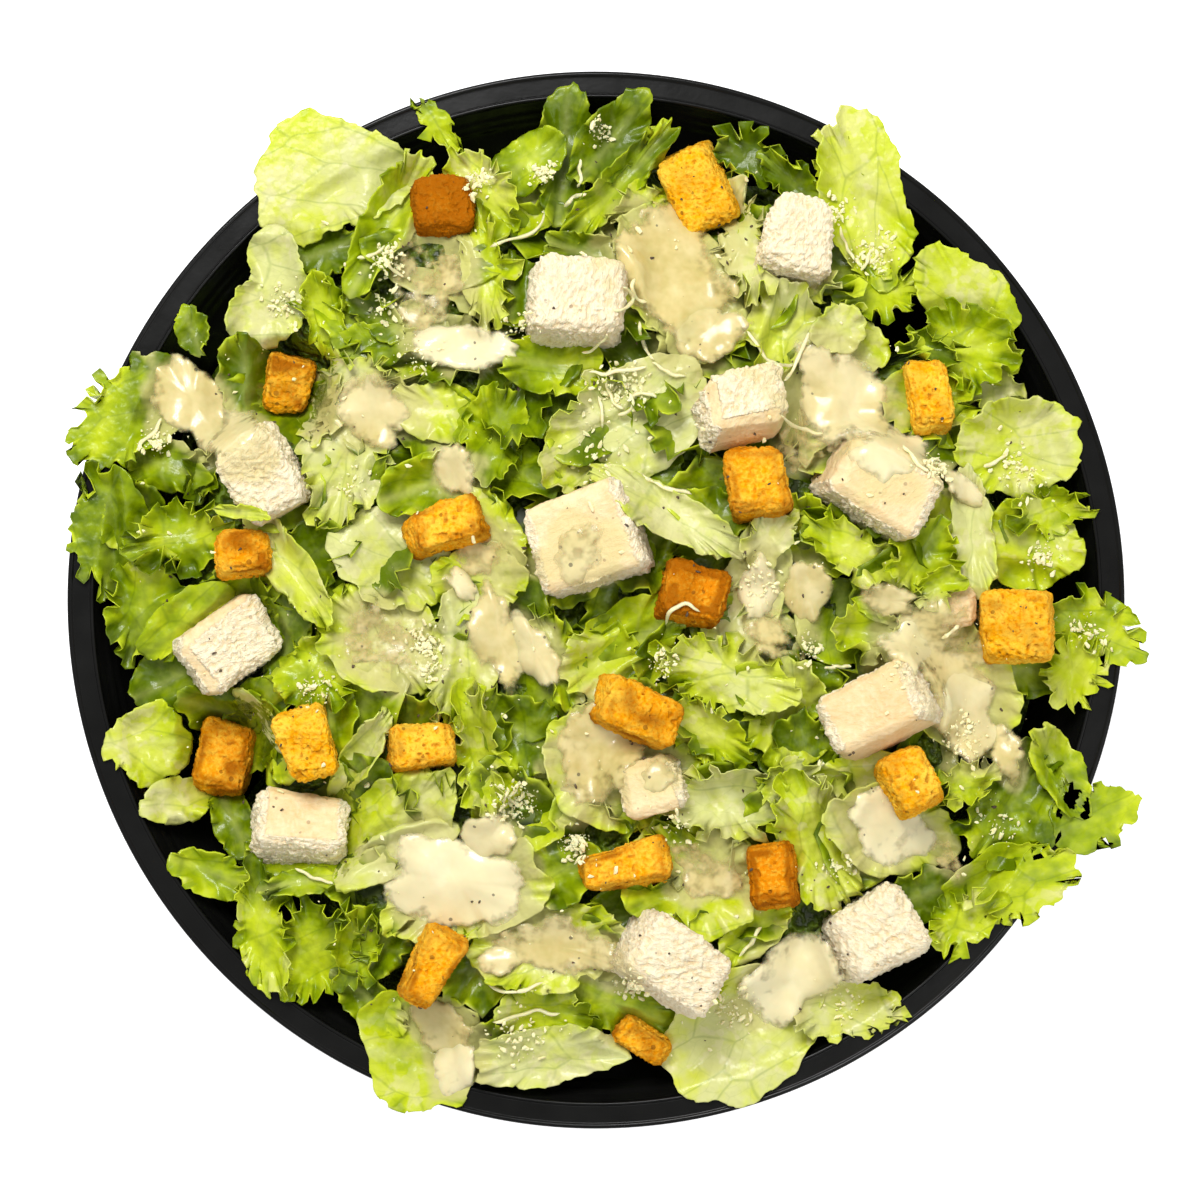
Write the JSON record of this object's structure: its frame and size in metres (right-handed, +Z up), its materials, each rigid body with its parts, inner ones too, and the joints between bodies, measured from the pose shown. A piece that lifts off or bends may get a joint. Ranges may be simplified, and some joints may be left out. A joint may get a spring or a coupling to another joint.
{
  "type": "chicken caesar salad in a bowl",
  "caption": "Chicken caesar salad: a heap of lettuce with diced chicken, croutons, creamy dressing and grated cheese in a round black takeaway bowl.",
  "frame": {"origin": "centre of the bowl's flat base, on the surface it stands on", "axes": "+Z up out of the bowl along its own axis; +X and +Y lie in the rim's plane, with +Y towards the back leaves"},
  "size_m": [0.203, 0.2, 0.0743],
  "materials": {
    "bowl": "gloss",
    "lettuce": "satin",
    "chicken": "satin",
    "crouton": "matte"
  },
  "bodies": {
    "root": {"bowl": "bowl", "lettuce_heap": "lettuce", "chicken_01": "chicken", "chicken_02": "chicken", "chicken_03": "chicken", "chicken_04": "chicken", "chicken_05": "chicken", "chicken_06": "chicken", "chicken_07": "chicken", "chicken_08": "chicken", "chicken_09": "chicken", "chicken_10": "chicken", "chicken_11": "chicken", "chicken_12": "chicken", "chicken_13": "chicken", "crouton_01": "crouton", "crouton_02": "crouton", "crouton_03": "crouton", "crouton_04": "crouton", "crouton_05": "crouton", "crouton_06": "crouton", "crouton_07": "crouton", "crouton_08": "crouton", "crouton_09": "crouton", "crouton_10": "crouton", "crouton_11": "crouton", "crouton_12": "crouton", "crouton_13": "crouton", "crouton_14": "crouton", "crouton_15": "crouton", "crouton_16": "crouton", "crouton_17": "crouton", "crouton_18": "crouton"}
  },
  "joints": []
}
